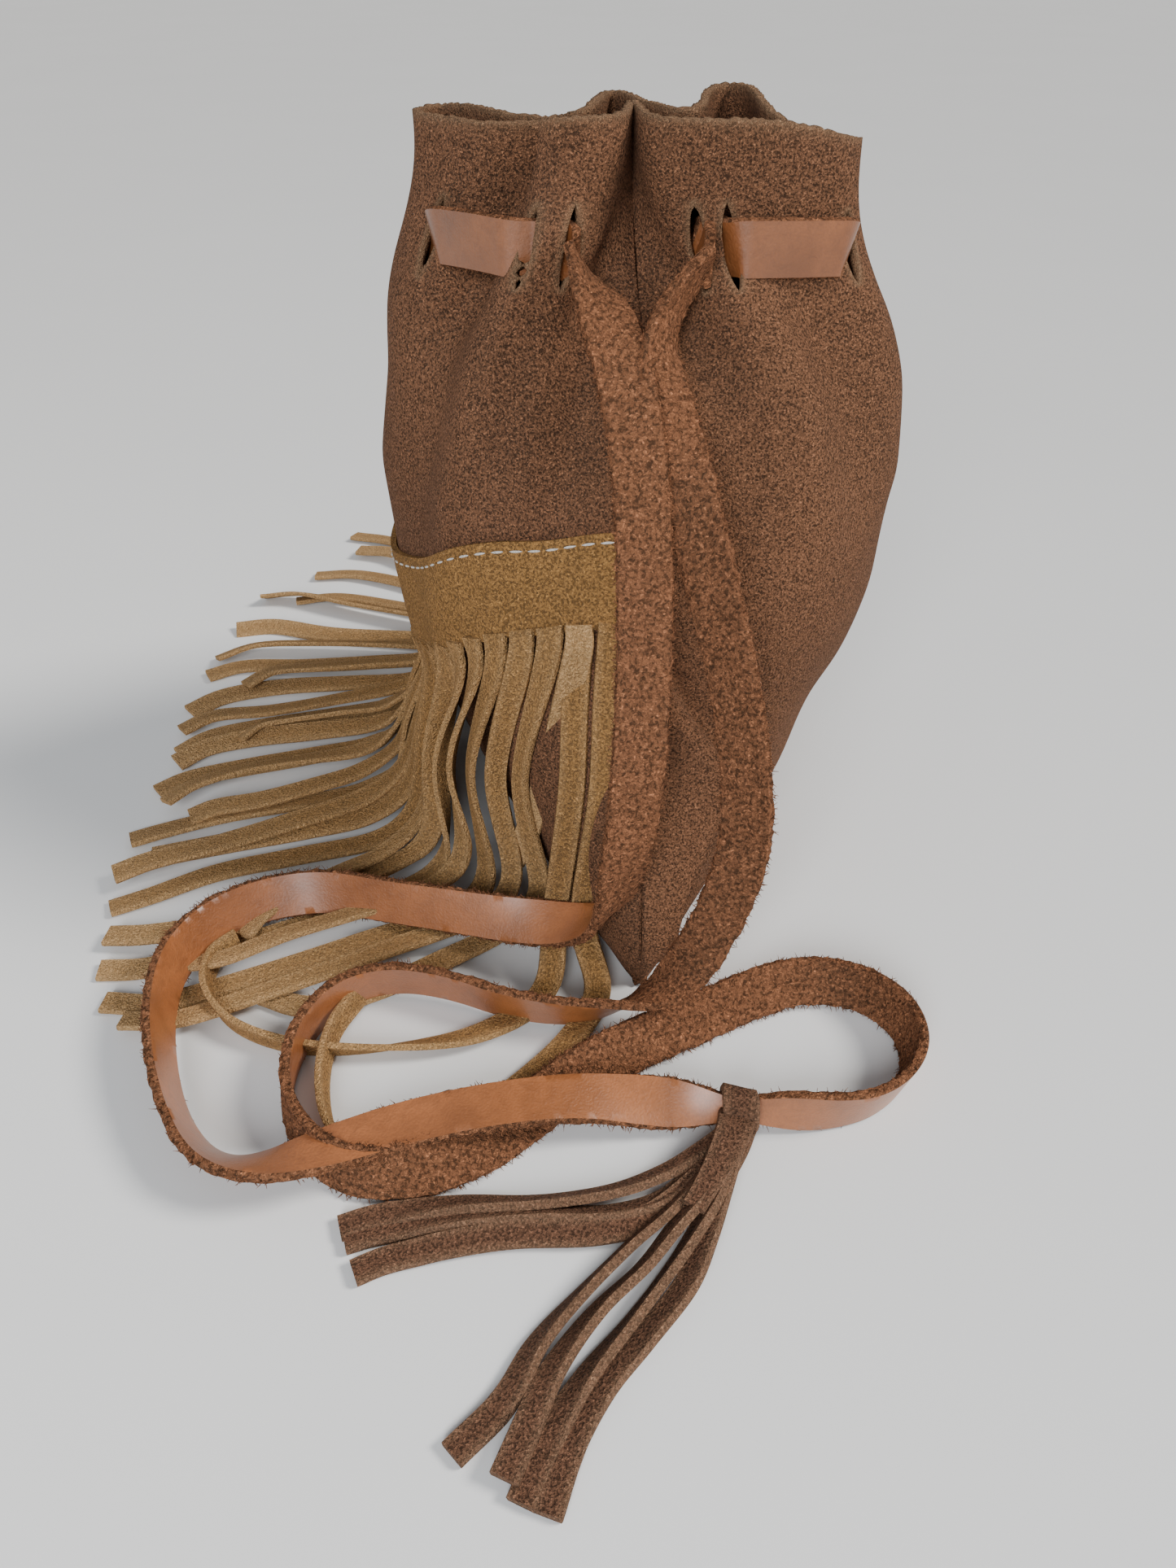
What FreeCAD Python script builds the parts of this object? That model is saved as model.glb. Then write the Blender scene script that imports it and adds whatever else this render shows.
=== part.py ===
"""Suede drawstring pouch with a fringe panel, a woven lace and a sliding tassel.

Frame: +Z up, origin on the resting face under the middle of the pouch, millimetres.
The fringe faces -X, the plain back faces +X, and the side seams face -Y and +Y.
"""
import FreeCAD, Part
import math
import os

V = FreeCAD.Vector

# Driving dimensions
LEATHER = 2.0            # thickness of the suede
SEAM_GAP = 0.15          # half the gap between the two panels along the seams
RIM_Z = 153.0            # height of the gathered rim
BAND_LOW = 67.0          # fringe panel's upper edge at its lowest, half way round the front
BAND_RISE = 28.0         # and how much higher it is where it meets the side seams
SEAM_Y = 58.0            # distance of the side seams from the middle at that height
LACE_Z = 133.5           # middle height of the lace in its slits
LACE_WIDTH = 10.0
LACE_THICK = 1.8
LACE_CLEAR = 0.3         # lace to suede
LACE_TURN = 0.9          # length in which the lace changes side at a slit
LACE_LEAD = 0.107        # how far round the pouch the lace runs past its first and last slit
SLIT_HEIGHT = 13.0
SLIT_WIDTH = 5.0         # slits gape where the lace turns through them
CORD_DIAMETER = 5.0      # round tube with the lace's own section area
FRINGE_CLEAR = 0.3       # fringe panel to front panel
STRIP_COUNT = 24
STRIP_WIDTH = 4.8
STRIP_THICK = 1.8
STRIP_LIFT = 0.2         # underside of a strip above the table
BAND_HEIGHT = 22.0       # uncut part of the fringe panel
FRINGE_FROM = 111.0      # the strips hang between these angles round the pouch
FRINGE_TO = 250.0
STRIP_BEND = 9.0         # radius in which a strip turns on to the table
STITCH_COUNT = 46
STITCH_LENGTH = 2.4
STITCH_DROP = 2.5        # stitches below the fringe panel's upper edge
THREAD = 0.8
TASSEL_X = 17.0          # middle of the tassel head along the lace
STRAND_WIDTH = 4.0
STRAND_THICK = 1.8
STRAND_STEP = 2.1        # the second group of strands lies over the root of the first
EYE_RADIUS = 3.4         # tassel fold round the lace
FOLD_WIDTH = 7.0         # tassel fold along the lace
HINGE = V(15.5, -125.0, 0.0)            # the strands swing about this upright line
SLIDE_START = V(9.0, -114.6, 5.2)       # the tassel slides along this straight stretch of lace
SLIDE_END = V(30.0, -116.1, 5.2)
# Strands: middle point and tip
FRONT_STRANDS = [
    ((-7, -142, 0), (-33, -172, 0)),
    ((-2, -146, 0), (-28, -177, 0)),
    ((3, -149.5, 0), (-22.5, -181, 0)),
    ((8, -152, 0), (-16, -184, 0)),
]
LEFT_STRANDS = [
    ((-18, -132.5, 0), (-55, -135.5, 0)),
    ((-17, -136.5, 0), (-53, -141.5, 0)),
    ((-15.5, -140, 0), (-49.5, -147.5, 0)),
]

# Outer sections: height, half width in X, half depth in Y, middle in X, fullness
SECTIONS = [
    (0.0, 22.0, 80.0, 0.0, 1.35),
    (8.0, 33.0, 81.0, 0.0, 1.45),
    (25.0, 43.0, 75.0, 0.0, 1.55),
    (45.0, 51.0, 66.0, 0.0, 1.75),
    (65.0, 55.0, 60.0, 0.0, 1.95),
    (88.0, 56.0, 53.0, 0.0, 2.1),
    (108.0, 53.0, 45.0, 0.0, 2.1),
    (120.0, 48.0, 35.0, -1.0, 2.1),
    (126.0, 46.0, 29.0, -2.0, 2.1),
    (141.0, 46.0, 29.0, -2.0, 2.1),
    (RIM_Z, 41.0, 26.0, -3.0, 2.1),
]
SLITS_X = (-40.0, -20.0, -13.0, 10.5, 17.0, 35.0)   # near side, left to right

# Lace route outside the pouch, from the left slit round the table to the right slit
LACE_ROUTE = [
    (-13, -33, 133), (-9, -40, 129), (-5, -48, 120), (-2, -56, 107), (-1, -65, 91),
    (-1, -74, 72), (-2, -81, 53), (-4, -84, 36), (-7, -82, 21), (-14, -75, 12.5),
    (-26, -72.5, 11.5), (-41, -68, 10.5), (-56, -63.5, 9), (-70, -59, 8), (-83, -62, 8),
    (-93, -69, 8), (-98, -80, 8), (-97, -93, 8), (-93, -106, 7), (-87, -118, 6),
    (-79, -127, 6), (-68, -130, 8), (-57, -127, 9), (-44, -121, 8), (-30, -118, 9),
    (-15, -115, 8), (-2, -113.6, 5.2), (18, -115.6, 5.2), (38, -116.4, 5.2), (48, -111, 5),
    (53.5, -102, 5), (52, -91.5, 5), (44, -84.5, 5), (32, -83, 4), (20, -88, 3),
    (7, -95, 3), (-5, -101, 3), (-16, -109, 3), (-25, -118, 3), (-34, -125, 3),
    (-44, -129, 3), (-55, -128.5, 3), (-64, -121, 4), (-69, -110, 5), (-68, -98, 6),
    (-62, -88, 7), (-52, -84, 7), (-40, -86, 7), (-27, -91, 6), (-13, -94, 6),
    (0, -92, 7), (9, -89, 13), (16, -87, 26), (19, -84, 42), (18, -79, 58),
    (15, -73, 73), (11, -67, 87), (7, -60, 100), (4, -53, 112), (3, -46, 122),
    (6, -39, 129), (10, -33, 133),
]

# Strip tips on the table, from the near side round to the far side
TIP_NEAR = V(-104, -94, 0)
TIP_LEFT = V(-124, 8, 0)
TIP_FAR = V(-92, 136, 0)


def signed_power(value, power):
    return math.copysign(abs(value) ** power, value)


def section_at(height):
    """Section values at a height, straight between the listed ones."""
    for low, high in zip(SECTIONS, SECTIONS[1:]):
        if low[0] <= height <= high[0]:
            part = (height - low[0]) / (high[0] - low[0])
            return [a + (b - a) * part for a, b in zip(low, high)]
    raise ValueError("height outside the pouch")


def section_point(values, angle, offset=0.0):
    """Point on a section; angle 0 faces +X and 90 degrees faces +Y."""
    height, half_x, half_y, middle, fullness = values
    power = 2.0 / fullness
    x = (half_x + offset) * signed_power(math.cos(angle), power)
    y = (half_y + offset) * signed_power(math.sin(angle), power)
    return V(middle + x, y, height)


def section_wire(values, offset, height=None):
    count = 24
    points = [section_point(values, 2 * math.pi * k / count, offset) for k in range(count)]
    if height is not None:
        points = [V(p.x, p.y, height) for p in points]
    curve = Part.BSplineCurve()
    curve.interpolate(Points=points, PeriodicFlag=True)
    return Part.Wire([curve.toShape()])


def pouch_volume(offset, floor=0.0, top=RIM_Z):
    """Closed volume of the pouch, grown or shrunk sideways by an offset."""
    wires = []
    for values in SECTIONS:
        height = values[0]
        if height == 0.0:
            height = floor
        if height == RIM_Z:
            height = top
        wires.append(section_wire(values, offset, height))
    return Part.makeLoft(wires, True, True)


def slit_angles():
    """Angles of all slits, in the order in which the lace meets them."""
    values = section_at(LACE_Z)
    near = []
    for x in SLITS_X:
        ratio = (x - values[3]) / values[1]
        angle = -math.acos(signed_power(ratio, values[4] / 2.0))
        near.append(angle)
    far = [-angle for angle in near]
    left = near[2::-1] + far[0:3]
    right = far[3:6] + near[:2:-1]
    return left + right


def wall_point(angle, height, offset):
    return section_point(section_at(height), angle, offset)


def wall_tangent(angle, height, offset):
    """Level direction along the wall; its cross product with +Z faces outward."""
    step = 0.004
    return (wall_point(angle + step, height, offset) - wall_point(angle - step, height, offset)).normalize()


def turned_box(length, width, height, middle, along):
    """Box centred on a point, its length turned to a level direction."""
    box = Part.makeBox(length, width, height, V(-length / 2, -width / 2, -height / 2))
    box.rotate(V(0, 0, 0), V(0, 0, 1), math.degrees(math.atan2(along.y, along.x)))
    box.translate(middle)
    return box


def slit_cutters():
    cutters = []
    for angle in slit_angles():
        middle = wall_point(angle, LACE_Z, -LEATHER / 2)
        outward = wall_tangent(angle, LACE_Z, -LEATHER / 2).cross(V(0, 0, 1))
        cutters.append(turned_box(7.0, SLIT_WIDTH, SLIT_HEIGHT, middle, outward))
    return Part.makeCompound(cutters)


def panels():
    """Front and back panels: two half shells that meet at the side and bottom seams."""
    shell = pouch_volume(0.0).cut(pouch_volume(-LEATHER, LEATHER, RIM_Z + 1.0))
    shell = shell.cut(slit_cutters())
    size = 400.0
    left = Part.makeBox(size, size, size, V(-size - SEAM_GAP, -size / 2, -1))
    right = Part.makeBox(size, size, size, V(SEAM_GAP, -size / 2, -1))
    return shell.common(left), shell.common(right)


def unwrapped_angles(angles):
    """Slit angles as one falling sequence round the pouch, the way the lace runs."""
    result = [angles[0]]
    for angle in angles[1:]:
        while angle > result[-1]:
            angle -= 2 * math.pi
        result.append(angle)
    return result


def woven_lace():
    """The lace's woven stretch, in and out through all twelve slits."""
    crossings = unwrapped_angles(slit_angles())
    swing = LEATHER / 2 + LACE_CLEAR + LACE_THICK / 2
    count = 420
    start = crossings[0] + LACE_LEAD
    end = crossings[-1] - LACE_LEAD
    centre = []
    for k in range(count + 1):
        angle = start + (end - start) * k / count
        here = wall_point(angle, LACE_Z, -LEATHER / 2)
        outward = wall_tangent(angle, LACE_Z, -LEATHER / 2).cross(V(0, 0, 1))
        side = 1.0
        for crossing in crossings:
            gap = (here - wall_point(crossing, LACE_Z, -LEATHER / 2)).Length
            if angle < crossing:
                gap = -gap
            if abs(angle - crossing) < 0.5:
                side *= math.tanh(gap / LACE_TURN)
            else:
                side *= math.copysign(1.0, gap)
        centre.append(here + outward * (swing * side))
    edges_a = []
    edges_b = []
    for k, point in enumerate(centre):
        before = centre[max(k - 1, 0)]
        after = centre[min(k + 1, count)]
        across = (after - before).normalize().cross(V(0, 0, 1)) * (LACE_THICK / 2)
        base = V(point.x, point.y, LACE_Z - LACE_WIDTH / 2)
        edges_a.append(base + across)
        edges_b.append(base - across)
    outline = edges_a + edges_b[::-1]
    face = Part.Face(Part.makePolygon(outline + [outline[0]]))
    return face.extrude(V(0, 0, LACE_WIDTH))


def band_top(y):
    """Height of the fringe panel's upper edge: low in the middle, high at the seams."""
    return BAND_LOW + BAND_RISE * min(abs(y) / SEAM_Y, 1.1) ** 2


def height_below_edge(angle, drop):
    """Height on the wall so far below the fringe panel's upper edge."""
    height = 70.0
    for _ in range(5):
        height = band_top(section_point(section_at(height), angle).y) - drop
    return height


def fringe_band():
    """Uncut band of the fringe panel, lying on the front panel."""
    skin = pouch_volume(FRINGE_CLEAR + LEATHER).cut(pouch_volume(FRINGE_CLEAR))
    steps = [-64 + 8 * k for k in range(17)]
    top = [V(0, y, band_top(y)) for y in steps]
    low = [p - V(0, 0, BAND_HEIGHT) for p in top]
    upper = Part.BSplineCurve()
    upper.interpolate(Points=top)
    lower = Part.BSplineCurve()
    lower.interpolate(Points=low)
    sides = [Part.LineSegment(top[0], low[0]).toShape(), Part.LineSegment(top[-1], low[-1]).toShape()]
    outline = Part.Wire(Part.__sortEdges__([upper.toShape(), lower.toShape()] + sides))
    window = Part.Face(outline).extrude(V(-90, 0, 0))
    window.translate(V(-1.5, 0, 0))
    return skin.common(window)


def tip_point(share):
    """Point on the fan of strip tips, share 0 near side, 1 far side."""
    blend = (1 - share) ** 2, 2 * share * (1 - share), share ** 2
    corner = (TIP_LEFT - TIP_NEAR * 0.25 - TIP_FAR * 0.25) * 2.0
    return TIP_NEAR * blend[0] + corner * blend[1] + TIP_FAR * blend[2]


def fringe_strip(k):
    """One strip: down from the band, a bend at the table, and a run out to its tip."""
    share = k / (STRIP_COUNT - 1.0)
    angle = -math.radians(FRINGE_FROM + (FRINGE_TO - FRINGE_FROM) * share)
    rest = FRINGE_CLEAR + STRIP_THICK / 2 + 0.4
    top = wall_point(angle, height_below_edge(angle, BAND_HEIGHT - 3.0), rest)
    tip = tip_point(share)
    level = STRIP_LIFT + STRIP_THICK / 2
    run = V(tip.x - top.x, tip.y - top.y, 0).normalize()
    foot_out = 7.0 + 19.0 * abs(math.sin(angle)) ** 3
    foot = V(top.x, top.y, level) + run * foot_out
    end = V(tip.x, tip.y, level)
    down = (foot - top).normalize()
    back = STRIP_BEND * math.tan(down.getAngle(run) / 2)
    across = run.cross(V(0, 0, 1)) * STRIP_WIDTH
    outline = []
    for side in (-STRIP_THICK / 2, STRIP_THICK / 2):
        normal = V(-down.z * run.x, -down.z * run.y, run.dot(down))
        inner = V(0, 0, 1)
        start_p = top + normal * side
        bend_a = foot - down * back + normal * side
        bend_b = foot + run * back + inner * side
        centre = foot - down * back + normal * STRIP_BEND
        bend_m = centre - (normal + inner).normalize() * (STRIP_BEND - side)
        outline.append((start_p, bend_a, bend_m, bend_b, end + inner * side))
    low, high = outline
    edges = []
    for chain in (low, high):
        edges.append(Part.LineSegment(chain[0], chain[1]).toShape())
        edges.append(Part.Arc(chain[1], chain[2], chain[3]).toShape())
        edges.append(Part.LineSegment(chain[3], chain[4]).toShape())
    edges.append(Part.LineSegment(low[0], high[0]).toShape())
    edges.append(Part.LineSegment(low[4], high[4]).toShape())
    face = Part.Face(Part.Wire(Part.__sortEdges__(edges)))
    face.translate(across * -0.5)
    return face.extrude(across)


def fringe_panel():
    strips = [fringe_strip(k) for k in range(STRIP_COUNT)]
    return fringe_band().multiFuse(strips)


def top_stitches():
    """White stitches along the band's upper edge."""
    stitches = []
    offset = FRINGE_CLEAR + LEATHER + 0.35
    for k in range(STITCH_COUNT):
        angle = -math.radians(94) - math.radians(172) * k / (STITCH_COUNT - 1.0)
        height = height_below_edge(angle, STITCH_DROP)
        here = wall_point(angle, height, offset)
        stitches.append(turned_box(STITCH_LENGTH, 0.5, 0.6, here, wall_tangent(angle, height, offset)))
    return Part.makeCompound(stitches)


def tube(points, diameter, report=""):
    """Round tube: straight runs joined by tangent arcs."""
    points = [V(*p) for p in points]
    edges = []
    start = points[0]
    smallest = 1e9
    for before, here, after in zip(points, points[1:], points[2:]):
        into = (here - before).normalize()
        out = (after - here).normalize()
        turn = into.getAngle(out)
        reach = 0.45 * min((here - before).Length, (after - here).Length)
        radius = reach / math.tan(turn / 2)
        smallest = min(smallest, radius)
        first = here - into * reach
        last = here + out * reach
        inward = ((first + last) * 0.5 - here).normalize()
        centre = here + inward * (radius / math.cos(turn / 2))
        middle = centre - inward * radius
        edges.append(Part.LineSegment(start, first).toShape())
        edges.append(Part.Arc(first, middle, last).toShape())
        start = last
    edges.append(Part.LineSegment(start, points[-1]).toShape())
    path = Part.Wire(edges)
    circle = Part.makeCircle(diameter / 2, points[0], points[1] - points[0])
    solid = path.makePipeShell([Part.Wire([circle])], True, False)
    expected = math.pi * diameter ** 2 / 4 * path.Length
    if report:
        print(report, "length", round(path.Length, 1), "smallest radius", round(smallest, 1),
              "volume ratio", round(solid.Volume / expected, 3), "lowest", round(solid.BoundBox.ZMin, 2))
    return solid


def seam_threads():
    """Hidden thread down both side seams and along the bottom, inside the pouch."""
    inset = LEATHER + 1.2
    lower_half = SECTIONS[0][2]
    near = [(0.0, inset + 3 - lower_half, inset)]
    for values in SECTIONS[2:-2] + SECTIONS[-1:]:
        near.append((0.0, inset - values[2], values[0]))
    far = [(x, -y, z) for x, y, z in near]
    run_start = V(0, 10 - lower_half, LEATHER + 0.6)
    bottom = Part.makeCylinder(THREAD / 2, 2 * (lower_half - 10), run_start, V(0, 1, 0))
    return Part.makeCompound([tube(near, THREAD), tube(far, THREAD), bottom])


def tassel_head():
    """The tassel's fold: a sleeve of suede round the lace, with its neck over the strands."""
    along = (SLIDE_END - SLIDE_START).normalize()
    share = (TASSEL_X - SLIDE_START.x) / (SLIDE_END.x - SLIDE_START.x)
    middle = SLIDE_START + (SLIDE_END - SLIDE_START) * share
    start = middle - along * (FOLD_WIDTH / 2)
    sleeve = Part.makeCylinder(EYE_RADIUS + STRAND_THICK, FOLD_WIDTH, start, along)
    hole = Part.makeCylinder(EYE_RADIUS, FOLD_WIDTH + 2, start - along, along)
    neck_z = 2 * STRAND_STEP + STRIP_LIFT + STRAND_THICK / 2
    neck_middle = V((middle.x + HINGE.x) / 2, (middle.y + HINGE.y) / 2, neck_z)
    neck = turned_box(FOLD_WIDTH, (middle - HINGE).Length + 4, STRAND_THICK, neck_middle, along)
    return sleeve.fuse(neck).cut(hole)


def strand(middle, tip, level):
    """Flat strand from the fold to its tip, its edges parallel to a smooth line."""
    root = HINGE + (middle - HINGE).normalize() * 2.0
    points = [root, middle, tip]
    left = []
    right = []
    for k, point in enumerate(points):
        before = points[max(k - 1, 0)]
        after = points[min(k + 1, len(points) - 1)]
        across = (after - before).normalize().cross(V(0, 0, 1)) * (STRAND_WIDTH / 2)
        left.append(V(point.x + across.x, point.y + across.y, level))
        right.append(V(point.x - across.x, point.y - across.y, level))
    first = Part.BSplineCurve()
    first.interpolate(Points=left)
    second = Part.BSplineCurve()
    second.interpolate(Points=right)
    ends = [Part.LineSegment(left[0], right[0]).toShape(), Part.LineSegment(left[-1], right[-1]).toShape()]
    face = Part.Face(Part.Wire(Part.__sortEdges__([first.toShape(), second.toShape()] + ends)))
    return face.extrude(V(0, 0, STRAND_THICK))


def strand_group(routes, level):
    """Strands of one end of the tassel strip, joined at their uncut root."""
    root = Part.makeCylinder(4.4, STRAND_THICK, V(HINGE.x, HINGE.y, level))
    strands = [strand(V(*middle), V(*tip), level) for middle, tip in routes]
    return root.multiFuse(strands)


def main():
    os.makedirs("parts", exist_ok=True)
    front, back = panels()
    nodes = {
        "front_panel": front,
        "back_panel": back,
        "fringe_panel": fringe_panel(),
        "top_stitching": top_stitches(),
        "seam_threads": seam_threads(),
        "woven_lace": woven_lace(),
        "lace_loop": tube(LACE_ROUTE, CORD_DIAMETER, "lace loop"),
        "tassel_head": tassel_head(),
        "tassel_front_strands": strand_group(FRONT_STRANDS, STRIP_LIFT),
        "tassel_left_strands": strand_group(LEFT_STRANDS, STRIP_LIFT + STRAND_STEP),
    }
    for name, shape in nodes.items():
        box = shape.BoundBox
        print(name, "solids", len(shape.Solids), "valid", shape.isValid(), "volume", round(shape.Volume),
              "x", round(box.XMin, 1), round(box.XMax, 1), "y", round(box.YMin, 1), round(box.YMax, 1),
              "z", round(box.ZMin, 2), round(box.ZMax, 2))
        shape.exportStep("parts/" + name + ".step")


main()
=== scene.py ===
"""Suede drawstring pouch: panels, fringe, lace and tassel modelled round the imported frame."""
import math
import random

import bmesh
import bpy
import numpy as np
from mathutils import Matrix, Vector


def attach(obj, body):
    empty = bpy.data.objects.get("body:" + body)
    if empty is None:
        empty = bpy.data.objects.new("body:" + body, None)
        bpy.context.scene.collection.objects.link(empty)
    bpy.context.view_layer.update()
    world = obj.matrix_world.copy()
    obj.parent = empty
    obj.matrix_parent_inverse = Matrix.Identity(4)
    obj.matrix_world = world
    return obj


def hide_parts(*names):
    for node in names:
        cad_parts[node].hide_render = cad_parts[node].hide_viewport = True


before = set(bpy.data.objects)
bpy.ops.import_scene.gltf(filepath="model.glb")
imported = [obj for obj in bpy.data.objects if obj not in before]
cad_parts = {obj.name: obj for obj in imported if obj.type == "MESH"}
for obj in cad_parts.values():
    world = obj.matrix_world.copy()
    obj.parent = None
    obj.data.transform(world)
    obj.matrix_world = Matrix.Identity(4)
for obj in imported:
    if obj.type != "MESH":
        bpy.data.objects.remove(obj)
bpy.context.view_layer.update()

bl_info = {
    "name": "Suede drawstring pouch",
    "version": (1, 0, 0),
    "blender": (4, 5, 0),
    "location": "View3D > Sidebar > Pouch",
    "description": "Builds a suede drawstring pouch with a fringe, a flat lace and a tassel",
    "category": "Add Mesh",
}

MM = 0.001                      # shapes are worked out in millimetres and stored in metres
LACE_LINE = 133.5               # height of the lace's middle in its slits
SLIT_HALF = 6.8                 # half the height of a slit
RIM = 153.0                     # height of the gathered rim
GATHER_FROM = 104.0             # the gathers fade in from here to the rim
GATHER_POWER = 1.7              # the higher, the later they grow
PANEL_COLUMNS = 230
FLOOR_ROWS = 8
PANEL_WIDTH = 170.0             # a panel's flat width, from one seam to the other
LIP_GAP = 1.5                   # how far each lip of a slit moves aside
BAND_HEIGHT = 22.0
BAND_OFFSET = 1.6
BAND_COLUMNS = 58
BAND_ROWS = 18
STITCHES = 48
STITCH_DROP = 2.2               # stitches below the band's upper edge
SKIN_MIDDLE = -0.85             # middle of the leather, from the outer surface
LACE_SWING = 2.1                # and how far the woven lace lies to either side of it
TABLE_GAP = 0.05
UP = np.array([0.0, 0.0, 1.0])

# Outer sections: height, half width in X, half depth in Y, middle in X, fullness
SECTIONS = np.array([
    (0.0, 22.0, 80.0, 0.0, 1.35),
    (8.0, 33.0, 81.0, 0.0, 1.45),
    (25.0, 43.0, 75.0, 0.0, 1.55),
    (45.0, 51.0, 66.0, 0.0, 1.75),
    (65.0, 55.0, 60.0, 0.0, 1.95),
    (88.0, 56.0, 53.0, 0.0, 2.1),
    (108.0, 53.5, 45.0, 0.5, 2.2),
    (120.0, 52.0, 37.0, -0.8, 2.4),
    (128.0, 50.0, 31.5, -1.8, 2.6),
    (141.0, 47.0, 27.5, -2.4, 2.8),
    (153.0, 43.0, 26.0, -3.0, 2.8),
])

# Gathered rim from the near side seam round to the far one: plan position and height above RIM
FRONT_RIM = [
    (-3, -9, 1.2), (-3.4, -17, 1.4), (-4.2, -25, 1.6), (-7.5, -29.5, 1.6), (-12, -31, 1.6), (-17, -30.5, 1.2),
    (-20, -27, .4), (-18.2, -22, -.5), (-16.6, -18.2, -1), (-21, -16.8, -1), (-30, -15, -1),
    (-38, -11, -1), (-43, -6, -1),
    (-44, 1, -1), (-41, 7, -1), (-35, 5.5, -1), (-27, -4, -1), (-20, -8, -1), (-14.5, -10.5, -.5),
    (-12.6, -12, .5), (-11.5, -10, 1), (-9.6, 0, 1), (-8, 8, 1), (-5, 9, 1), (-3, 4, 1),
]
BACK_RIM = [
    (-3, -9, 1.2), (-2.7, -17, 1.4), (-2, -24.5, 1.4), (1.5, -28, 1.2), (9, -29, 1), (19, -28, .4),
    (28, -25.5, -.8), (34, -22.5, -2.2), (37, -17.5, -3.2), (34, -14.5, -3.2), (28, -17.5, -2),
    (24, -20, -.6), (21.5, -14, 1.4), (20.8, -4, 2), (19.4, 4.5, 2), (16.2, 8.5, 2), (12.4, 5, 2),
    (9.8, -4, 2), (8, -14, 1.6), (5, -17, 1), (1, -8, 1), (-3, 4, 1),
]

# Soft folds: start and end as (share round the panel, height), half width in mm, height in mm
FRONT_FOLDS = [
    ((0.175, 134), (0.25, 90), 7.5, 4.6),
    ((0.115, 130), (0.13, 100), 6.0, 2.4),
    ((0.075, 126), (0.13, 78), 7.0, -3.4),
    ((0.285, 125), (0.34, 70), 11.0, -6.0),
    ((0.30, 152), (0.30, 139), 8.0, -3.0),
    ((0.62, 122), (0.70, 60), 10.0, 2.2),
    ((0.80, 124), (0.84, 70), 9.0, -2.5),
    ((0.50, 30), (0.95, 14), 9.0, -1.8),
]
BACK_FOLDS = [
    ((0.06, 124), (0.10, 84), 8.0, -3.0),
    ((0.155, 122), (0.21, 90), 9.0, 2.6),
    ((0.245, 120), (0.27, 88), 7.0, -3.0),
    ((0.33, 126), (0.37, 92), 7.0, 2.0),
    ((0.47, 122), (0.50, 70), 7.0, -2.4),
    ((0.66, 124), (0.66, 70), 10.0, 2.2),
    ((0.80, 124), (0.78, 60), 9.0, -2.5),
    ((0.30, 40), (0.60, 20), 12.0, -1.5),
]
# Where the near bottom corner folds over the back panel: share round the panel, height
LOBE_EDGE = [(0.0, 0.0), (0.045, 8.0), (0.055, 18.0), (0.085, 28.0), (0.108, 38.0), (0.085, 48.0),
             (0.045, 57.0), (0.012, 66.0)]

# Slits in the order in which the lace meets them: panel, share round it
SLITS = [("front", 0.145), ("front", 0.190), ("front", 0.395), ("front", 0.60), ("front", 0.74),
         ("front", 0.88), ("back", 0.90), ("back", 0.76), ("back", 0.60), ("back", 0.33),
         ("back", 0.168), ("back", 0.13)]

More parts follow.
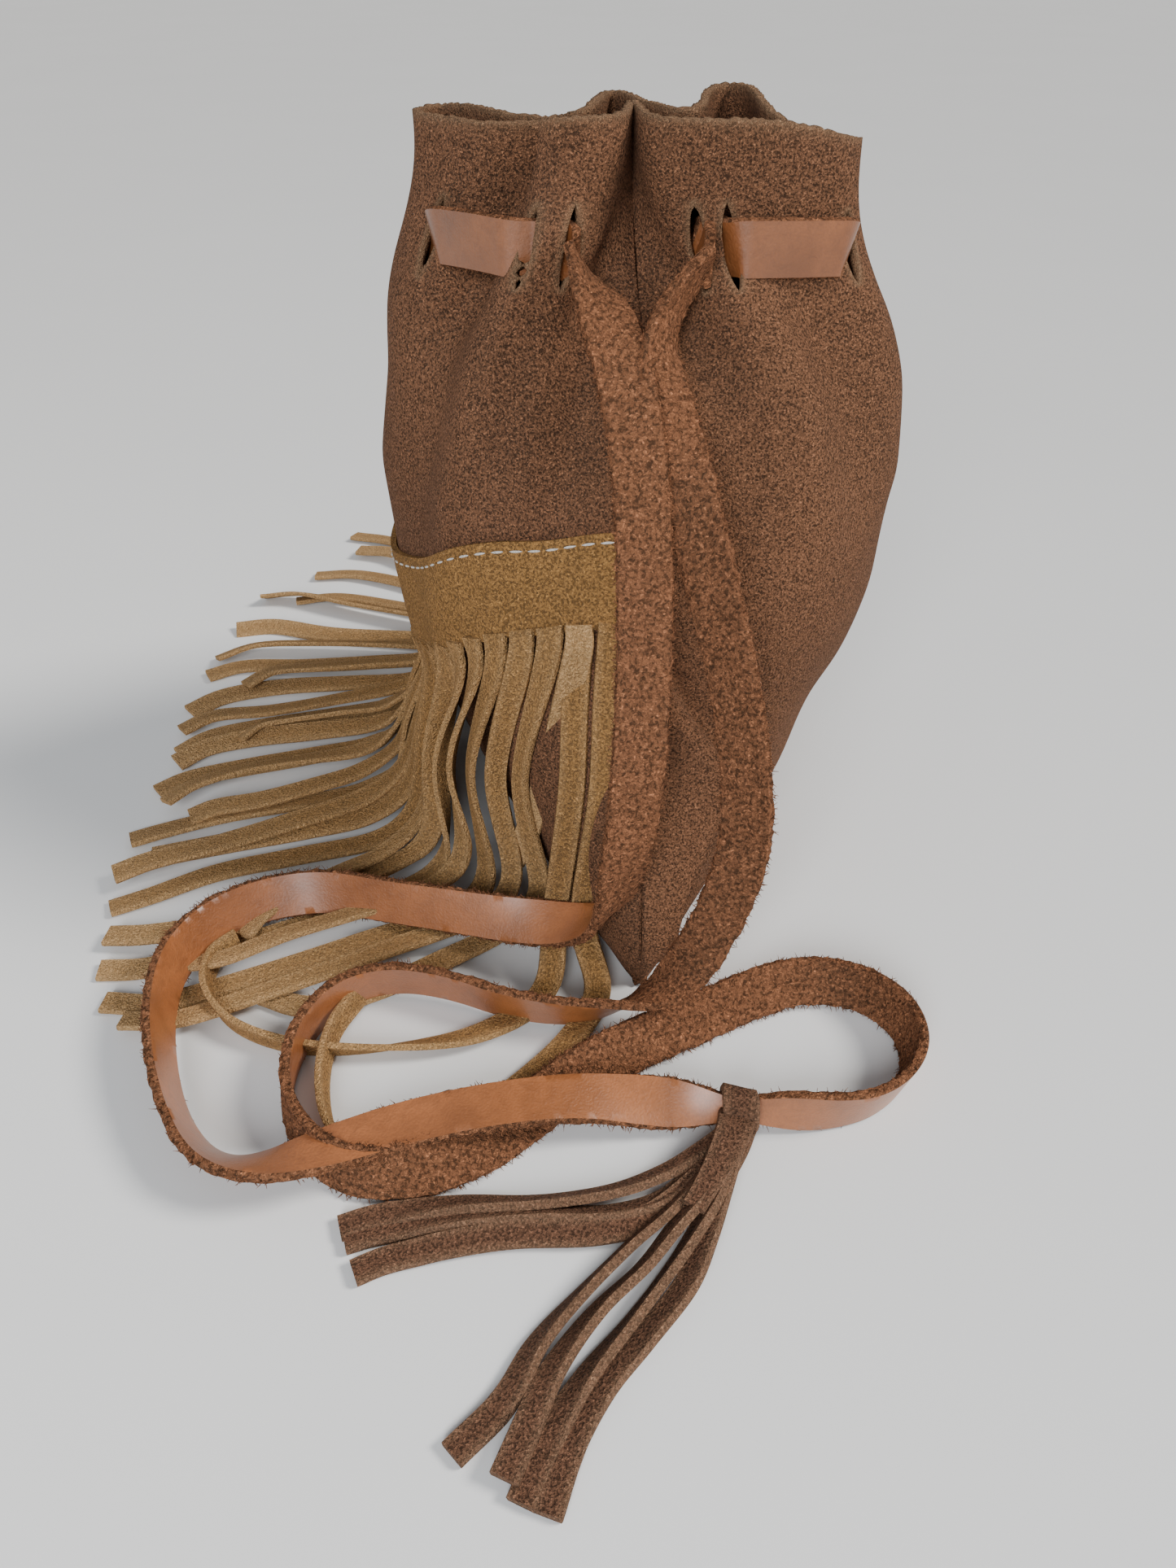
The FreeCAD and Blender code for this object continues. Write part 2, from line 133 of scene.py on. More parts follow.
# Lace route outside the pouch, in mm, and the way its rough side faces: the CAD tube's points, eight of
# them moved by up to 3.2 mm
LACE_ROUTE = [
    (-13, -33, 133, 1, -.2, 0), (-9, -40, 129, .5, -.85, .1), (-5, -48.5, 120, .05, -1, .3),
    (-2, -56, 107, 0, -1, .3), (-1, -65, 91, 0, -1, .2), (-1, -74, 72, 0, -1, .2), (-2, -81, 53, .1, -1, .1),
    (-4, -84, 36, .3, -.9, 0), (-7, -82, 21, .8, -.6, 0), (-14, -75, 12.5, .5, .1, -.8),
    (-26, -72.5, 11.5, .1, .75, -.6), (-41, -68, 10.5, 0, .85, -.45), (-56, -63.5, 9, 0, .9, -.4),
    (-70, -59, 8, -.1, .85, -.45), (-83, -62, 8, -.4, .7, -.5), (-93, -69, 8, -.7, .5, -.4),
    (-98, -80, 8, -.9, .1, -.3), (-97, -93, 8, -.9, -.1, -.3), (-93, -106, 7, -.9, -.2, -.3),
    (-87, -118, 6, -.8, -.4, -.3), (-79, -127, 6, -.4, -.7, -.5), (-68, -130, 8, -.1, -.5, -.8),
    (-57, -127, 9, 0, -.1, -1), (-44, -121, 8, 0, 0, -1), (-30, -118, 9, 0, 0, -1),
    (-15, -115, 8, 0, .05, -1),
    (-2, -113.6, 5.2, 0, .25, -.95), (18, -115.6, 5.2, 0, .85, -.4), (38, -116.4, 5.2, 0, .98, .15),
    (48, -111, 5, -.6, .7, .25), (53.5, -102, 5, -.9, .1, .2), (52, -91.5, 5, -.8, -.5, .3),
    (44, -84.5, 5, -.3, -.9, .4), (32, -83, 4, 0, -.8, .6), (20, -88, 3, .1, -.7, .7),
    (7, -95, 3, .2, -.6, .8),
    (-5, -101, 3, .2, -.6, .8), (-16, -109, 3, .2, -.5, .8), (-25, -118, 3, .2, -.4, .9),
    (-34, -125, 3, .1, -.6, .8), (-44, -129, 3, 0, -.9, .5), (-55, -128.5, 3, -.3, -.9, .3),
    (-64, -121, 4, -.8, -.6, .2), (-69, -110, 5, -1, 0, .1), (-68, -98, 6, -.85, .5, 0),
    (-62, -88, 7, -.5, .85, .1), (-52, -84, 7, 0, .95, .2), (-40, -86, 7, 0, .96, .2),
    (-27, -91, 6, 0, .95, .2), (-13, -94, 7, 0, .95, .25), (0, -92, 8, -.05, .55, .8),
    (8, -89.5, 13, -.15, -.6, .75), (14.5, -87, 26, -.1, -.98, .1), (19, -84, 42, -.45, -.9, 0),
    (18, -79, 58, -.5, -.85, .1), (15, -73, 73, -.5, -.85, .1), (11, -67, 87, -.4, -.9, .1),
    (7, -60, 100, -.2, -1, .1), (3, -52, 111.5, .2, -1, .1), (1, -43.5, 121.5, .75, -.65, 0),
    (4.5, -37.5, 128.5, 1, -.1, 0), (10, -33, 133, 1, .1, 0),
]

# Fringe strips: tip in plan, resting height of the run, roll of the run in degrees
STRIP_TIPS = [
    (-57, -90, 1.2, 10), (-79, -84, 1.0, 0), (-106, -92, 3.0, 8), (-112, -86, 1.1, 0), (-96, -78, 5.0, 12),
    (-116, -77, 1.1, -8), (-117, -68, 3.2, 0), (-86, -70, 5.2, 15), (-120, -58, 1.1, 6),
    (-115, -42, 3.2, -10),
    (-121, -50, 5.0, 0), (-123, -34, 1.1, 12), (-110, -27, 3.2, 0), (-117, -23, 5.0, 20), (-122, -15, 1.1, 0),
    (-120, -4, 3.1, -14), (-105, 4, 5.0, 30), (-121, 2, 1.1, 0), (-123, 11, 3.1, 10), (-124, 22, 1.1, -8),
    (-110, 32, 4.6, 16), (-124, 41, 1.1, 0), (-123, 49, 3.0, 24), (-122, 68, 1.1, -20), (-118, 88, 3.0, 30),
    (-107, 87, 1.1, 14), (-104, 105, 1.1, 10), (-92, 122, 3.0, 0), (-96, 136, 1.1, 8),
]
# The strips that hang nearest the near seam: how far they slide round, in mm, and their turn in degrees
HANGING = [(5.0, -18.0), (7.0, 38.0), (6.5, -34.0), (7.0, 42.0), (6.5, 62.0), (5.5, 74.0), (4.0, -70.0),
           (2.0, 55.0)]
SHORT_STRIP = 0                 # the strip that ends short
# Two strips that curl away in front of the others: route in mm
CURL_LONG = [(-12, -72, 12), (-9, -84, 3), (-14, -96, 2.6), (-24, -107, 2.4), (-38, -117, 2.2),
(-50, -123, 2.4),
             (-58, -119, 3), (-62, -108, 3.4), (-62, -96, 3.8), (-58, -86, 4)]
CURL_SHORT = [(-18, -70, 12), (-20, -84, 3), (-32, -95, 2.6), (-50, -99, 2.6), (-68, -99, 2.8),
(-82, -94, 3.2),
              (-90, -85, 3.6), (-91, -76, 4), (-87, -71, 4.4)]

FOLD_MIDDLE = (17.0, -115.6, 5.4)

# Tassel strands: route in mm with the resting height, and roll in degrees at the middle
FRONT_STRANDS = [
    ([(14, -122, 5), (9.6, -128, 4.8), (2.4, -136.3, 4.4), (-4.3, -142.2, 3.6), (-13.2, -150.9, 2.6),
      (-19.2, -158, 1.8), (-23.6, -165.8, 1.2), (-31.1, -173.4, 1.1)], 62),
    ([(14.5, -123, 6), (10.3, -131.6, 6), (3.5, -139.8, 5.4), (-1.9, -146.3, 4.8), (-9.5, -153.2, 4),
      (-16.1, -161.6, 3.2), (-19.9, -169.8, 2.8), (-23.1, -177.2, 2.6)], 58),
    ([(15.5, -123, 5.4), (11.2, -133.1, 5), (6, -141.5, 4.2), (0.5, -148.8, 3.4), (-5.3, -155.7, 2.6),
      (-11.7, -163.3, 2), (-17, -171.9, 1.4), (-20.6, -180, 1.2)], 64),
    ([(16.5, -122, 5), (12.7, -131.2, 4.4), (8.7, -140.8, 3.6), (4.9, -148.6, 3), (-2.3, -157, 2.4),
      (-8.6, -164, 1.8), (-13.6, -172.3, 1.2), (-16.8, -181.4, 1.1)], 34),
]
LEFT_STRANDS = [
    ([(14, -120.5, 5), (9.5, -123.8, 4.6), (2.9, -127.9, 4), (-6.7, -131.3, 3.2), (-20.2, -133.0, 2.4),
      (-33.6, -133.3, 1.8), (-46.9, -135.0, 1.3), (-53.9, -137.2, 1.1)], 46),
    ([(14, -121, 4.4), (9.5, -126, 4.2), (2.7, -132.5, 3.4), (-6.8, -135.2, 2.8), (-20, -135.1, 2.2),
      (-33.3, -135.8, 1.6), (-46.4, -137.7, 1.2), (-52.7, -139.6, 1.1)], 40),
    ([(14, -122, 4), (9, -128, 3.8), (-0.2, -135.9, 3), (-9.4, -138.4, 2.4), (-22.5, -138.7, 1.9),
      (-32.9, -140.1, 1.4), (-44.4, -142.8, 1.2), (-50.2, -145.3, 1.1)], -28),
]


# ---------------------------------------------------------------- shape helpers

def smooth_step(value, low, high):
    share = np.clip((value - low) / (high - low), 0.0, 1.0)
    return share * share * (3.0 - 2.0 * share)


def catmull(points, per_span=14):
    """Smooth line through points of any dimension."""
    p = np.array(points, dtype=float)
    p = np.vstack([2 * p[0] - p[1], p, 2 * p[-1] - p[-2]])
    spans = []
    t = np.linspace(0.0, 1.0, per_span, endpoint=False)[:, None]
    for a, b, c, d in zip(p, p[1:], p[2:], p[3:]):
        spans.append(0.5 * (2 * b + (c - a) * t + (2 * a - 5 * b + 4 * c - d) * t ** 2
                            + (3 * b - a - 3 * c + d) * t ** 3))
    return np.vstack(spans + [p[-2][None, :]])


def even(points, count):
    """The same line with evenly spaced points."""
    gaps = np.linalg.norm(np.diff(points[:, :3], axis=0), axis=1)
    along = np.concatenate([[0.0], np.cumsum(gaps)])
    wanted = np.linspace(0.0, along[-1], count)
    return np.stack([np.interp(wanted, along, points[:, k]) for k in range(points.shape[1])], axis=1)


def unit(vectors):
    return vectors / np.maximum(np.linalg.norm(vectors, axis=-1, keepdims=True), 1e-9)


def height_values():
    """Section values on a fine ladder of heights, rounded where the sections meet."""
    ladder = np.arange(0.0, RIM + 0.5, 0.5)
    columns = []
    kernel = np.hanning(23)
    kernel = kernel / kernel.sum()
    for k in range(1, 5):
        line = np.interp(ladder, SECTIONS[:, 0], SECTIONS[:, k])
        padded_line = np.concatenate([2 * line[0] - line[11:0:-1], line, 2 * line[-1] - line[-2:-13:-1]])
        columns.append(np.convolve(padded_line, kernel, "valid"))
    return ladder, columns


LADDER, LADDER_COLUMNS = height_values()
SIDE_SAMPLES = 260


class Side:
    """One panel's outer surface: share runs from the near seam to the far one, height up from the table."""

    def __init__(self, sign, rim, folds, lobe):
        self.sign = sign
        self.folds = folds
        self.lobe = lobe
        self.rim = even(catmull(rim), SIDE_SAMPLES)
        self.turn = np.linspace(0.0, math.pi, 721)

    def plain(self, shares, heights):
        """Points without folds, for arrays of shares and heights."""
        values = [np.interp(heights, LADDER, column) for column in LADDER_COLUMNS]
        result = np.zeros(shares.shape + (3,))
        gather = smooth_step(heights, GATHER_FROM, RIM) ** GATHER_POWER
        for k in range(len(heights)):
            half_x, half_y, middle, fullness = [value[k] for value in values]
            power = 2.0 / fullness
            x = self.sign * half_x * np.sin(self.turn) ** power + middle
            y = -half_y * np.sign(np.cos(self.turn)) * np.abs(np.cos(self.turn)) ** power
            line = even(np.stack([x, y, x * 0.0], axis=1), SIDE_SAMPLES)
            line = line * (1 - gather[k]) + self.rim * gather[k]
            grid = np.linspace(0.0, 1.0, SIDE_SAMPLES)
            for axis in range(3):
                result[k, :, axis] = np.interp(shares[k], grid, line[:, axis])
            result[k, :, 2] += heights[k]
        return result

    def relief(self, shares, heights):
        """How far the soft folds stand out, in mm."""
        tall = heights[:, None] * np.ones_like(shares)
        wide = shares * PANEL_WIDTH
        total = np.zeros_like(wide)
        for (s0, h0), (s1, h1), width, amount in self.folds:
            start = np.array([s0 * PANEL_WIDTH, h0])
            run = np.array([(s1 - s0) * PANEL_WIDTH, h1 - h0])
            share = ((wide - start[0]) * run[0] + (tall - start[1]) * run[1]) / run.dot(run)
            inside = np.clip(share, 0.0, 1.0)
            gap_x = wide - start[0] - inside * run[0]
            gap_y = tall - start[1] - inside * run[1]
            fade = 1.0 - 0.6 * inside
            total += amount * fade * np.exp(-(gap_x ** 2 + gap_y ** 2) / (width * width))
        total += 0.5 * np.sin(wide * 0.11 + tall * 0.05) * np.sin(tall * 0.09 + 1.0)
        total *= smooth_step(tall, 2.0, 20.0)
        if self.lobe:
            edge = np.interp(tall, [h for s, h in LOBE_EDGE], [s for s, h in LOBE_EDGE]) * PANEL_WIDTH
            past = wide - edge
            size = smooth_step(tall, 0.0, 12.0) * (1.0 - smooth_step(tall, 52.0, 80.0))
            dent = 6.0 * np.exp(-np.maximum(past, 0.0) / 18.0) * smooth_step(past, -0.6, 1.6)
            bulge = 2.2 * np.exp(-np.minimum(past, 0.0) ** 2 / 60.0) * (1.0 - smooth_step(past, -0.6, 1.6))
            total += (bulge - dent) * size
        return total

    def surface(self, shares, heights, offset=0.0):
        """Points and outward directions on rows of equal height."""
        base = self.plain(shares, heights)
        around = unit(np.gradient(base, axis=1))
        upward = unit(np.gradient(base, axis=0))
        outward = unit(np.cross(around, upward) * self.sign)
        relief = self.relief(shares, heights)
        return base + outward * (relief + offset)[..., None], outward

    def at(self, share, height, offset=0.0):
        """One point and its outward direction."""
        shares = np.clip(np.array([[share - 0.004, share, share + 0.004]] * 3), 0.0, 1.0)
        heights = np.array([height - 1.0, height, height + 1.0])
        line = self.plain(shares, heights)
        around = unit(line[1, 2] - line[1, 0])
        upward = unit(line[2, 1] - line[0, 1])
        outward = unit(np.cross(around, upward) * self.sign)
        relief = self.relief(shares, heights)[1, 1]
        return line[1, 1] + outward * (relief + offset), outward


FRONT = Side(-1.0, FRONT_RIM, FRONT_FOLDS, False)
BACK = Side(1.0, BACK_RIM, BACK_FOLDS, True)
SIDES = {"front": FRONT, "back": BACK}


def linked(name, data):
    """A new object in the scene."""
    item = bpy.data.objects.new(name, data)
    bpy.context.scene.collection.objects.link(item)
    return item


def put(mesh_maker, coords):
    """Places a grid's vertices, given in mm."""
    flat = coords.reshape(-1, 3) * MM
    for vert, place in zip(mesh_maker.verts, flat):
        vert.co = place


def make_piece(name, bm, materials, body, replaced=(), crisp=48.0):
    """Turns a bmesh into a finished piece that rides on a body."""
    for vert in bm.verts:
        vert.co.z = max(vert.co.z, TABLE_GAP * MM)
    mesh = bpy.data.meshes.new(name)
    bm.to_mesh(mesh)
    bm.free()
    piece = linked(name, mesh)
    for material in materials:
        mesh.materials.append(material)
    for polygon in mesh.polygons:
        polygon.use_smooth = True
    mesh.set_sharp_from_angle(angle=math.radians(crisp))
    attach(piece, body)
    if replaced:
        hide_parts(*replaced)
    return piece


STRAP_PROFILE = [(-.93, 1), (-.6, 1), (-.2, 1), (.2, 1), (.6, 1), (.93, 1), (1, .4), (1, -.4),
                 (.93, -1), (.6, -1), (.2, -1), (-.2, -1), (-.6, -1), (-.93, -1), (-1, -.4), (-1, .4)]
STRIP_PROFILE = [(-.9, 1), (-.3, 1), (.3, 1), (.9, 1), (1, 0), (.9, -1), (.3, -1), (-.3, -1), (-.9, -1),
                 (-1, 0)]


def pour(source, bm):
    """Adds one bmesh to another."""
    part = bpy.data.meshes.new("part")
    source.to_mesh(part)
    source.free()
    bm.from_mesh(part)
    bpy.data.meshes.remove(part)


def strap(bm, centre, facing, width, thick, profile, back_index=0, wobble=None, pale=(0.0, 0.0, 0.0)):
    """Closed flat strap along a line in mm; facing is the way the profile's first side looks.

    pale is how far the faces and the cut edges go towards the worn colour, and how much more at the end."""
    count = len(centre)
    tangent = unit(np.gradient(centre, axis=0))
    across = unit(np.cross(tangent, facing))
    normal = np.cross(across, tangent)
    rings = np.zeros((count, len(profile) + 1, 3))
    for k, (w, t) in enumerate(list(profile) + [profile[0]]):
        rings[:, k] = centre + across * (w * np.asarray(width) / 2)[..., None] + normal * (t * thick / 2)
    if wobble is not None:
        rings[:, :-1] += wobble(rings[:, :-1], across, normal)
        rings[:, -1] = rings[:, 0]
    grid = bmesh.new()
    bmesh.ops.create_grid(grid, x_segments=len(profile), y_segments=count - 1, size=1.0)
    put(grid, rings)
    if bm.verts.layers.float.get("edge") is None:
        bm.verts.layers.float.new("edge")
    wear = grid.verts.layers.float.new("edge")
    for index, vert in enumerate(grid.verts):
        ring, point = divmod(index, len(profile) + 1)
        cut = abs(profile[point % len(profile)][0]) > 0.85
        vert[wear] = pale[1 if cut else 0] + pale[2] * (ring / count) ** 2
    sides = len(profile)
    for index, face in enumerate(grid.faces):
        if sides // 2 <= index % sides < sides - 3:
            face.material_index = back_index
    bmesh.ops.remove_doubles(grid, verts=grid.verts, dist=1e-7)
    rim = [edge for edge in grid.edges if edge.is_boundary]
    bmesh.ops.holes_fill(grid, edges=rim, sides=0)
    bmesh.ops.recalc_face_normals(grid, faces=grid.faces)
    pour(grid, bm)


# ---------------------------------------------------------------- materials

class Wire:
    """A number travelling through the shader, with ordinary arithmetic."""

    def __init__(self, shades, socket):
        self.shades = shades
        self.socket = socket

    def _maths(self, operation, first, second):
        node = self.shades.node("ShaderNodeMath", {"operation": operation}, {0: first, 1: second})
        return Wire(self.shades, node.outputs[0])

    def __add__(self, other):
        return self._maths("ADD", self, other)

    def __radd__(self, other):
        return self._maths("ADD", other, self)

    def __sub__(self, other):
        return self._maths("SUBTRACT", self, other)

    def __mul__(self, other):
        return self._maths("MULTIPLY", self, other)

    def clamp(self):
        node = self.shades.node("ShaderNodeClamp", {}, {0: self})
        return Wire(self.shades, node.outputs[0])


class Shades:
    """A material under construction."""

    def __init__(self, name):
        self.material = bpy.data.materials.new(name)
        self.material.use_nodes = True
        self.tree = self.material.node_tree
        self.shader = self.tree.nodes["Principled BSDF"]
        place = self.node("ShaderNodeTexCoord", {}, {})
        self.place = Wire(self, place.outputs["Object"])

    def node(self, kind, settings, inputs):
        node = self.tree.nodes.new(kind)
        for key, value in settings.items():
            setattr(node, key, value)
        for key, value in inputs.items():
            self.feed(node.inputs[key], value)
        return node

    def feed(self, socket, value):
        if isinstance(value, Wire):
            self.tree.links.new(value.socket, socket)
        else:
            socket.default_value = value

    def noise(self, scale, detail=4.0, rough=0.6, distortion=0.0):
        node = self.node("ShaderNodeTexNoise", {}, {"Vector": self.place, "Scale": scale, "Detail": detail,
                                                     "Roughness": rough, "Distortion": distortion})
        return Wire(self, node.outputs["Fac"])

    def spread(self, value, low, high):
        """Stretches the range low to high over 0 to 1."""
        return ((value - low) * (1.0 / (high - low))).clamp()

    def mix(self, share, first, second):
        node = self.node("ShaderNodeMix", {"data_type": "RGBA"}, {0: share, 6: first, 7: second})
        return Wire(self, node.outputs[2])

    def attribute(self, name):
        node = self.node("ShaderNodeAttribute", {"attribute_name": name}, {})
        return Wire(self, node.outputs["Fac"])

    def bump(self, height, distance, strength=1.0):
        node = self.node("ShaderNodeBump", {}, {"Height": height, "Distance": distance, "Strength": strength})
        self.feed(self.shader.inputs["Normal"], Wire(self, node.outputs["Normal"]))

    def finish(self, colour, roughness, sheen=0.0, sheen_tint=(1, 1, 1, 1), specular=0.3):
        self.feed(self.shader.inputs["Base Color"], colour)
        self.feed(self.shader.inputs["Roughness"], roughness)
        self.shader.inputs["Sheen Weight"].default_value = sheen
        self.shader.inputs["Sheen Tint"].default_value = sheen_tint
        self.shader.inputs["Specular IOR Level"].default_value = specular
        return self.material


def rgb(values, factor=1.0):
    return tuple(min(1.0, value * factor) for value in values) + (1.0,)


def suede(name, colour, dark=0.24, light=2.4, grain=1500.0, pale=(0.34, 0.20, 0.11)):
    """Napped suede: short fibres that lie in light and dark patches, paler where it is cut or worn."""
    s = Shades(name)
    patches = s.spread(s.noise(26.0, 2.0, 0.5, 0.4), 0.34, 0.66)
    clumps = s.spread(s.noise(grain * 0.7, 2.0, 0.5, 0.3), 0.36, 0.64)
    fibres = s.spread(s.noise(grain * 1.7, 2.0, 0.55, 0.5), 0.42, 0.62)
    pits = s.spread(s.noise(grain * 1.25, 2.0, 0.5, 0.4), 0.46, 0.64)
    tone = s.mix(patches, rgb(colour, 0.74), rgb(colour, 1.18))
    tone = s.mix(clumps * 0.25, tone, rgb(colour, 0.6 * light))
    tone = s.mix(fibres * 0.65, tone, rgb(colour, light))
    tone = s.mix(pits * 0.85, tone, rgb(colour, dark))
    edge = s.attribute("edge")
    tone = s.mix((edge * (0.45 + fibres * 0.8)).clamp(), tone, rgb(pale))
    s.bump(fibres * 0.5 + clumps * 0.4 - pits * 0.6, 0.0006, 1.0)
    return s.finish(tone, 0.95, 0.05, rgb((1.0, 0.8, 0.62)), 0.10)


def grain_leather(name, colour):
    """Smooth, lightly waxed grain side of the lace."""
    s = Shades(name)
    cloud = s.spread(s.noise(60.0, 3.0, 0.55, 0.6), 0.32, 0.68)
    pores = s.spread(s.noise(2200.0, 2.0, 0.5), 0.38, 0.62)
    streaks = s.spread(s.noise(340.0, 4.0, 0.6, 1.0), 0.46, 0.72)
    tone = s.mix(cloud, rgb(colour, 0.70), rgb(colour, 1.18))
    tone = s.mix(streaks * 0.40, tone, rgb(colour, 0.50))
    tone = s.mix(pores * 0.25, tone, rgb(colour, 0.62))
    s.bump(pores * 0.5 + streaks * 0.5, 0.00012, 0.7)
    s.shader.inputs["Coat Weight"].default_value = 0.7
    s.shader.inputs["Coat Roughness"].default_value = 0.30
    return s.finish(tone, 0.42 + cloud * 0.14, 0.0, (1, 1, 1, 1), 0.4)


def flesh_leather(name, colour):
    """Rough, fibrous flesh side of the lace."""
    s = Shades(name)
    clumps = s.spread(s.noise(900.0, 3.0, 0.6, 0.5), 0.38, 0.62)
    tufts = s.spread(s.noise(1900.0, 3.0, 0.6, 0.8), 0.42, 0.60)
    gaps = s.spread(s.noise(1350.0, 3.0, 0.6, 0.5), 0.49, 0.64)
    tone = s.mix(clumps, rgb(colour, 0.62), rgb(colour, 1.20))
    tone = s.mix(tufts * 0.60, tone, rgb(colour, 2.0))
    tone = s.mix(gaps * 0.80, tone, rgb(colour, 0.18))
    s.bump(clumps * 0.6 + tufts * 0.6 - gaps * 0.8, 0.0010, 1.0)
    return s.finish(tone, 0.95, 0.05, rgb((1.0, 0.75, 0.5)), 0.10)


def thread_finish(name, colour):
    s = Shades(name)
    twist = s.spread(s.noise(2200.0, 2.0, 0.5), 0.3, 0.7)
    s.bump(twist, 0.0002, 0.6)
    return s.finish(s.mix(twist, rgb(colour, 0.6), rgb(colour, 1.0)), 0.75)


def paper_floor(name, colour):
    s = Shades(name)
    soft = s.noise(6.0, 3.0)
    return s.finish(s.mix(soft, rgb(colour, 0.97), rgb(colour, 1.02)), 0.85)


# ---------------------------------------------------------------- settings

def length(name, description, default):
    return bpy.props.FloatProperty(name=name, description=description, default=default,
                                   subtype="DISTANCE", unit="LENGTH")


def shade(name, description, default):
    return bpy.props.FloatVectorProperty(name=name, description=description, default=default,
                                         subtype="COLOR", size=3)


class PouchSizes(bpy.types.PropertyGroup):
    """Sizes a maker would change."""
    suede_thickness: length("Suede", "Thickness of the panels", 0.0015)
    lace_width: length("Lace width", "Width of the flat lace", 0.010)
    lace_thickness: length("Lace thickness", "Thickness of the lace", 0.0019)
    strip_width: length("Strip width", "Width of a fringe strip", 0.0063)
    strand_width: length("Strand width", "Width of a tassel strand", 0.0048)


class PouchColours(bpy.types.PropertyGroup):
    """Colours a maker would change."""
    body: shade("Body suede", "Colour of the two panels", (0.182, 0.083, 0.042))
    fringe: shade("Fringe suede", "Colour of the fringe panel", (0.350, 0.180, 0.058))
    lace_grain: shade("Lace, smooth side", "Grain side of the lace", (0.360, 0.122, 0.038))
    lace_flesh: shade("Lace, rough side", "Flesh side of the lace", (0.320, 0.132, 0.062))
    tassel: shade("Tassel suede", "Colour of the tassel", (0.150, 0.072, 0.041))
    thread: shade("Stitching", "Colour of the top stitching", (0.70, 0.66, 0.60))
    floor: shade("Floor", "Colour of the floor", (0.82, 0.82, 0.81))


# ---------------------------------------------------------------- operators

def area_light(name, place, aim, size, power, colour):
    data = bpy.data.lights.new(name, "AREA")
    data.shape = "DISK"
    data.size = size
    data.energy = power
    data.color = colour
    lamp = linked(name, data)
    lamp.location = place
    lamp.rotation_euler = (Vector(aim) - Vector(place)).to_track_quat("-Z", "Y").to_euler()


class POUCH_OT_stage(bpy.types.Operator):
    """Floor, soft studio light and camera"""
    bl_idname = "pouch.stage"
    bl_label = "Floor, light and camera"

    def execute(self, context):
        colours = context.scene.pouch_colours
        bm = bmesh.new()
        bmesh.ops.create_grid(bm, x_segments=1, y_segments=1, size=14.0)
        mesh = bpy.data.meshes.new("floor")
        bm.to_mesh(mesh)
        bm.free()
        mesh.materials.append(paper_floor("pale_paper", colours.floor))
        linked("floor", mesh)
        world = bpy.data.worlds.new("studio")
        world.use_nodes = True
        world.node_tree.nodes["Background"].inputs[0].default_value = (0.92, 0.95, 1.0, 1.0)
        world.node_tree.nodes["Background"].inputs[1].default_value = 0.34
        context.scene.world = world
        sun = bpy.data.lights.new("key", "SUN")
        sun.energy = 3.0
        sun.angle = math.radians(18.0)
        sun.color = (1.0, 0.97, 0.93)
        lamp = linked("key", sun)
        lamp.rotation_euler = Vector((-0.85, 0.0, -0.75)).to_track_quat("-Z", "Y").to_euler()
        area_light("gloss", (-0.18, -0.85, 0.50), (0.0, -0.06, 0.05), 0.42, 7.5, (0.93, 0.96, 1.0))
        lens = bpy.data.cameras.new("camera")
        lens.lens = 26.0
        lens.sensor_width = 36.0
        lens.clip_start = 0.01
        camera = linked("camera", lens)
        camera.location = (-0.011, -0.245, 0.1815)
        camera.rotation_euler = (math.radians(90.0 - 37.7), 0.0, 0.0)
        context.scene.camera = camera
        return {"FINISHED"}


def slit_columns(side):
    return [round(share * PANEL_COLUMNS) for name, share in SLITS if SIDES[name] is side]


def panel_rows():
    """Heights of the wall's rows, closer together at the slits and the rim."""
    low = np.linspace(0.0, 118.0, 82, endpoint=False)
    high = np.linspace(118.0, RIM, 46)
    return np.concatenate([low, high])


def panel_grid(side):
    """A panel's outer surface as rows of points, the floor rows first."""
    heights = panel_rows()
    shares = np.tile(np.linspace(0.0, 1.0, SIDE_SAMPLES)[None, :], (len(heights), 1))
    points, outward = side.surface(shares, heights)
    wanted = np.linspace(0.0, 1.0, PANEL_COLUMNS + 1)
    grid = np.linspace(0.0, 1.0, SIDE_SAMPLES)
    rows = np.zeros((len(heights), PANEL_COLUMNS + 1, 3))
    level = int(np.argmin(np.abs(heights - LACE_LINE)))
    slits = np.array(slit_columns(side)) / PANEL_COLUMNS
    picks = np.round(slits * (SIDE_SAMPLES - 1)).astype(int)
    around = unit(points[level, picks + 1] - points[level, picks - 1])
    near = np.exp(-((wanted[:, None] - slits[None, :]) / 0.03) ** 2)
    near = near / np.maximum(near.sum(axis=1, keepdims=True), 1.0)
    for k in range(len(heights)):
        slip = ((points[k, picks] - points[level, picks]) * around).sum(axis=1)
        fade = float(1.0 - smooth_step(abs(heights[k] - LACE_LINE), 7.0, 17.0))
        straight = wanted - (near * slip[None, :]).sum(axis=1) * 0.75 * fade / PANEL_WIDTH
        straight = np.maximum.accumulate(np.clip(straight, 0.0, 1.0)) * 0.98 + wanted * 0.02
        for axis in range(3):
            rows[k, :, axis] = np.interp(straight, grid, points[k, :, axis])
    ragged = np.random.default_rng(4).uniform(-0.22, 0.22, rows.shape[1])
    ragged += 0.2 * np.sin(wanted * 31.0)
    rows[-1, :, 2] += ragged
    rows[-2, :, 2] += ragged * 0.5
    floor = []
    for k in range(FLOOR_ROWS):
        share = k / FLOOR_ROWS
        line = rows[0].copy()
        line[:, 0] *= share
        line[:, 2] = 0.9 * (1 - share)
        floor.append(line)
    rows = np.concatenate([np.array(floor), rows])
    rows[:, :, 2] = np.maximum(rows[:, :, 2], 0.15)
    return rows, heights


